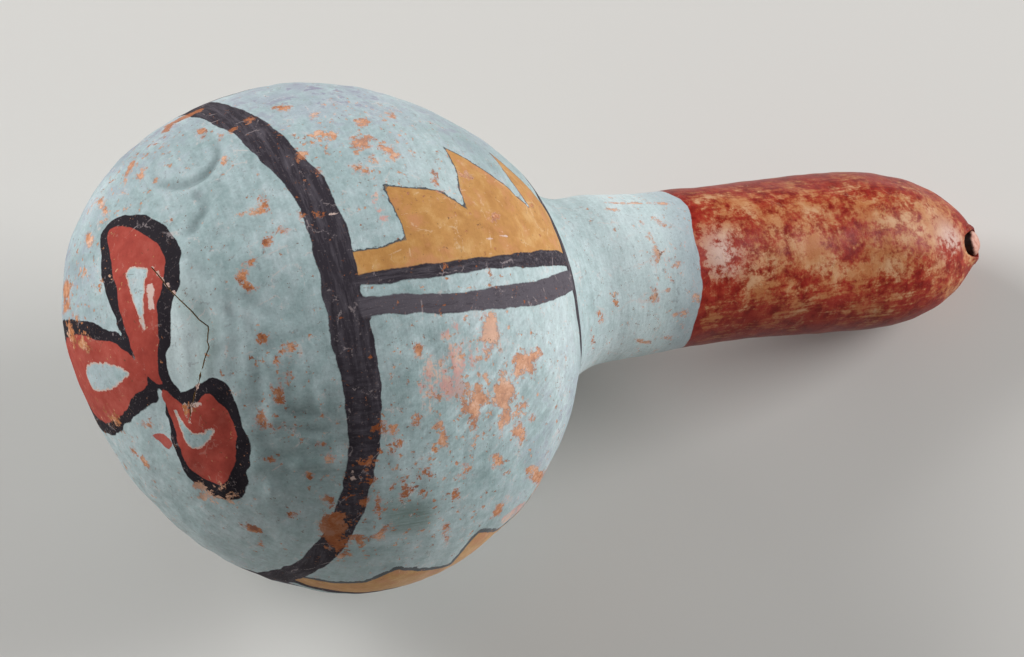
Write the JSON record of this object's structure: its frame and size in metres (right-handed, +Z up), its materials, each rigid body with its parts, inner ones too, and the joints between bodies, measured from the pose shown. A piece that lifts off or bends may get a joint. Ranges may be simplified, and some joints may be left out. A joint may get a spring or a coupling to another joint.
{
  "type": "gourd rattle",
  "caption": "Painted bottle gourd rattle with its own neck as handle, a fitted filling plug, a dried stem stub and loose pebbles in the hollow globe.",
  "frame": {"origin": "middle of the flat spot under the globe that the rattle lies on", "axes": "+Z up, away from the surface it lies on; +X along the gourd, from the blossom end to the stem; the gourd's own axis dips towards +X until the tip of the neck meets the same surface"},
  "size_m": [0.2412, 0.127, 0.1264],
  "materials": {
    "painted_rind": "matte",
    "pitch": "satin",
    "dry_stem": "matte",
    "pebble_stone": "matte"
  },
  "bodies": {
    "gourd": {"gourd_shell": "painted_rind", "filling_plug": "painted_rind", "pitch_seam": "pitch", "stem_stub": "dry_stem"},
    "pebble_01_body": {"pebble_01": "pebble_stone"},
    "pebble_02_body": {"pebble_02": "pebble_stone"},
    "pebble_03_body": {"pebble_03": "pebble_stone"},
    "pebble_04_body": {"pebble_04": "pebble_stone"},
    "pebble_05_body": {"pebble_05": "pebble_stone"},
    "pebble_06_body": {"pebble_06": "pebble_stone"},
    "pebble_07_body": {"pebble_07": "pebble_stone"},
    "pebble_08_body": {"pebble_08": "pebble_stone"},
    "pebble_09_body": {"pebble_09": "pebble_stone"},
    "pebble_10_body": {"pebble_10": "pebble_stone"},
    "pebble_11_body": {"pebble_11": "pebble_stone"},
    "pebble_12_body": {"pebble_12": "pebble_stone"}
  },
  "joints": [
    {"name": "pebble_01_toss", "type": "slide", "parent": "gourd", "child": "pebble_01_body", "axis": [0, 0, 1], "range_m": [0, 0.11]},
    {"name": "pebble_02_toss", "type": "slide", "parent": "gourd", "child": "pebble_02_body", "axis": [0, 0, 1], "range_m": [0, 0.109]},
    {"name": "pebble_03_toss", "type": "slide", "parent": "gourd", "child": "pebble_03_body", "axis": [0, 0, 1], "range_m": [0, 0.108]},
    {"name": "pebble_04_toss", "type": "slide", "parent": "gourd", "child": "pebble_04_body", "axis": [0, 0, 1], "range_m": [0, 0.11]},
    {"name": "pebble_05_toss", "type": "slide", "parent": "gourd", "child": "pebble_05_body", "axis": [0, 0, 1], "range_m": [0, 0.109]},
    {"name": "pebble_06_toss", "type": "slide", "parent": "gourd", "child": "pebble_06_body", "axis": [0, 0, 1], "range_m": [0, 0.109]},
    {"name": "pebble_07_toss", "type": "slide", "parent": "gourd", "child": "pebble_07_body", "axis": [0, 0, 1], "range_m": [0, 0.107]},
    {"name": "pebble_08_toss", "type": "slide", "parent": "gourd", "child": "pebble_08_body", "axis": [0, 0, 1], "range_m": [0, 0.105]},
    {"name": "pebble_09_toss", "type": "slide", "parent": "gourd", "child": "pebble_09_body", "axis": [0, 0, 1], "range_m": [0, 0.105]},
    {"name": "pebble_10_toss", "type": "slide", "parent": "gourd", "child": "pebble_10_body", "axis": [0, 0, 1], "range_m": [0, 0.106]},
    {"name": "pebble_11_toss", "type": "slide", "parent": "gourd", "child": "pebble_11_body", "axis": [0, 0, 1], "range_m": [0, 0.106]},
    {"name": "pebble_12_toss", "type": "slide", "parent": "gourd", "child": "pebble_12_body", "axis": [0, 0, 1], "range_m": [0, 0.106]}
  ]
}
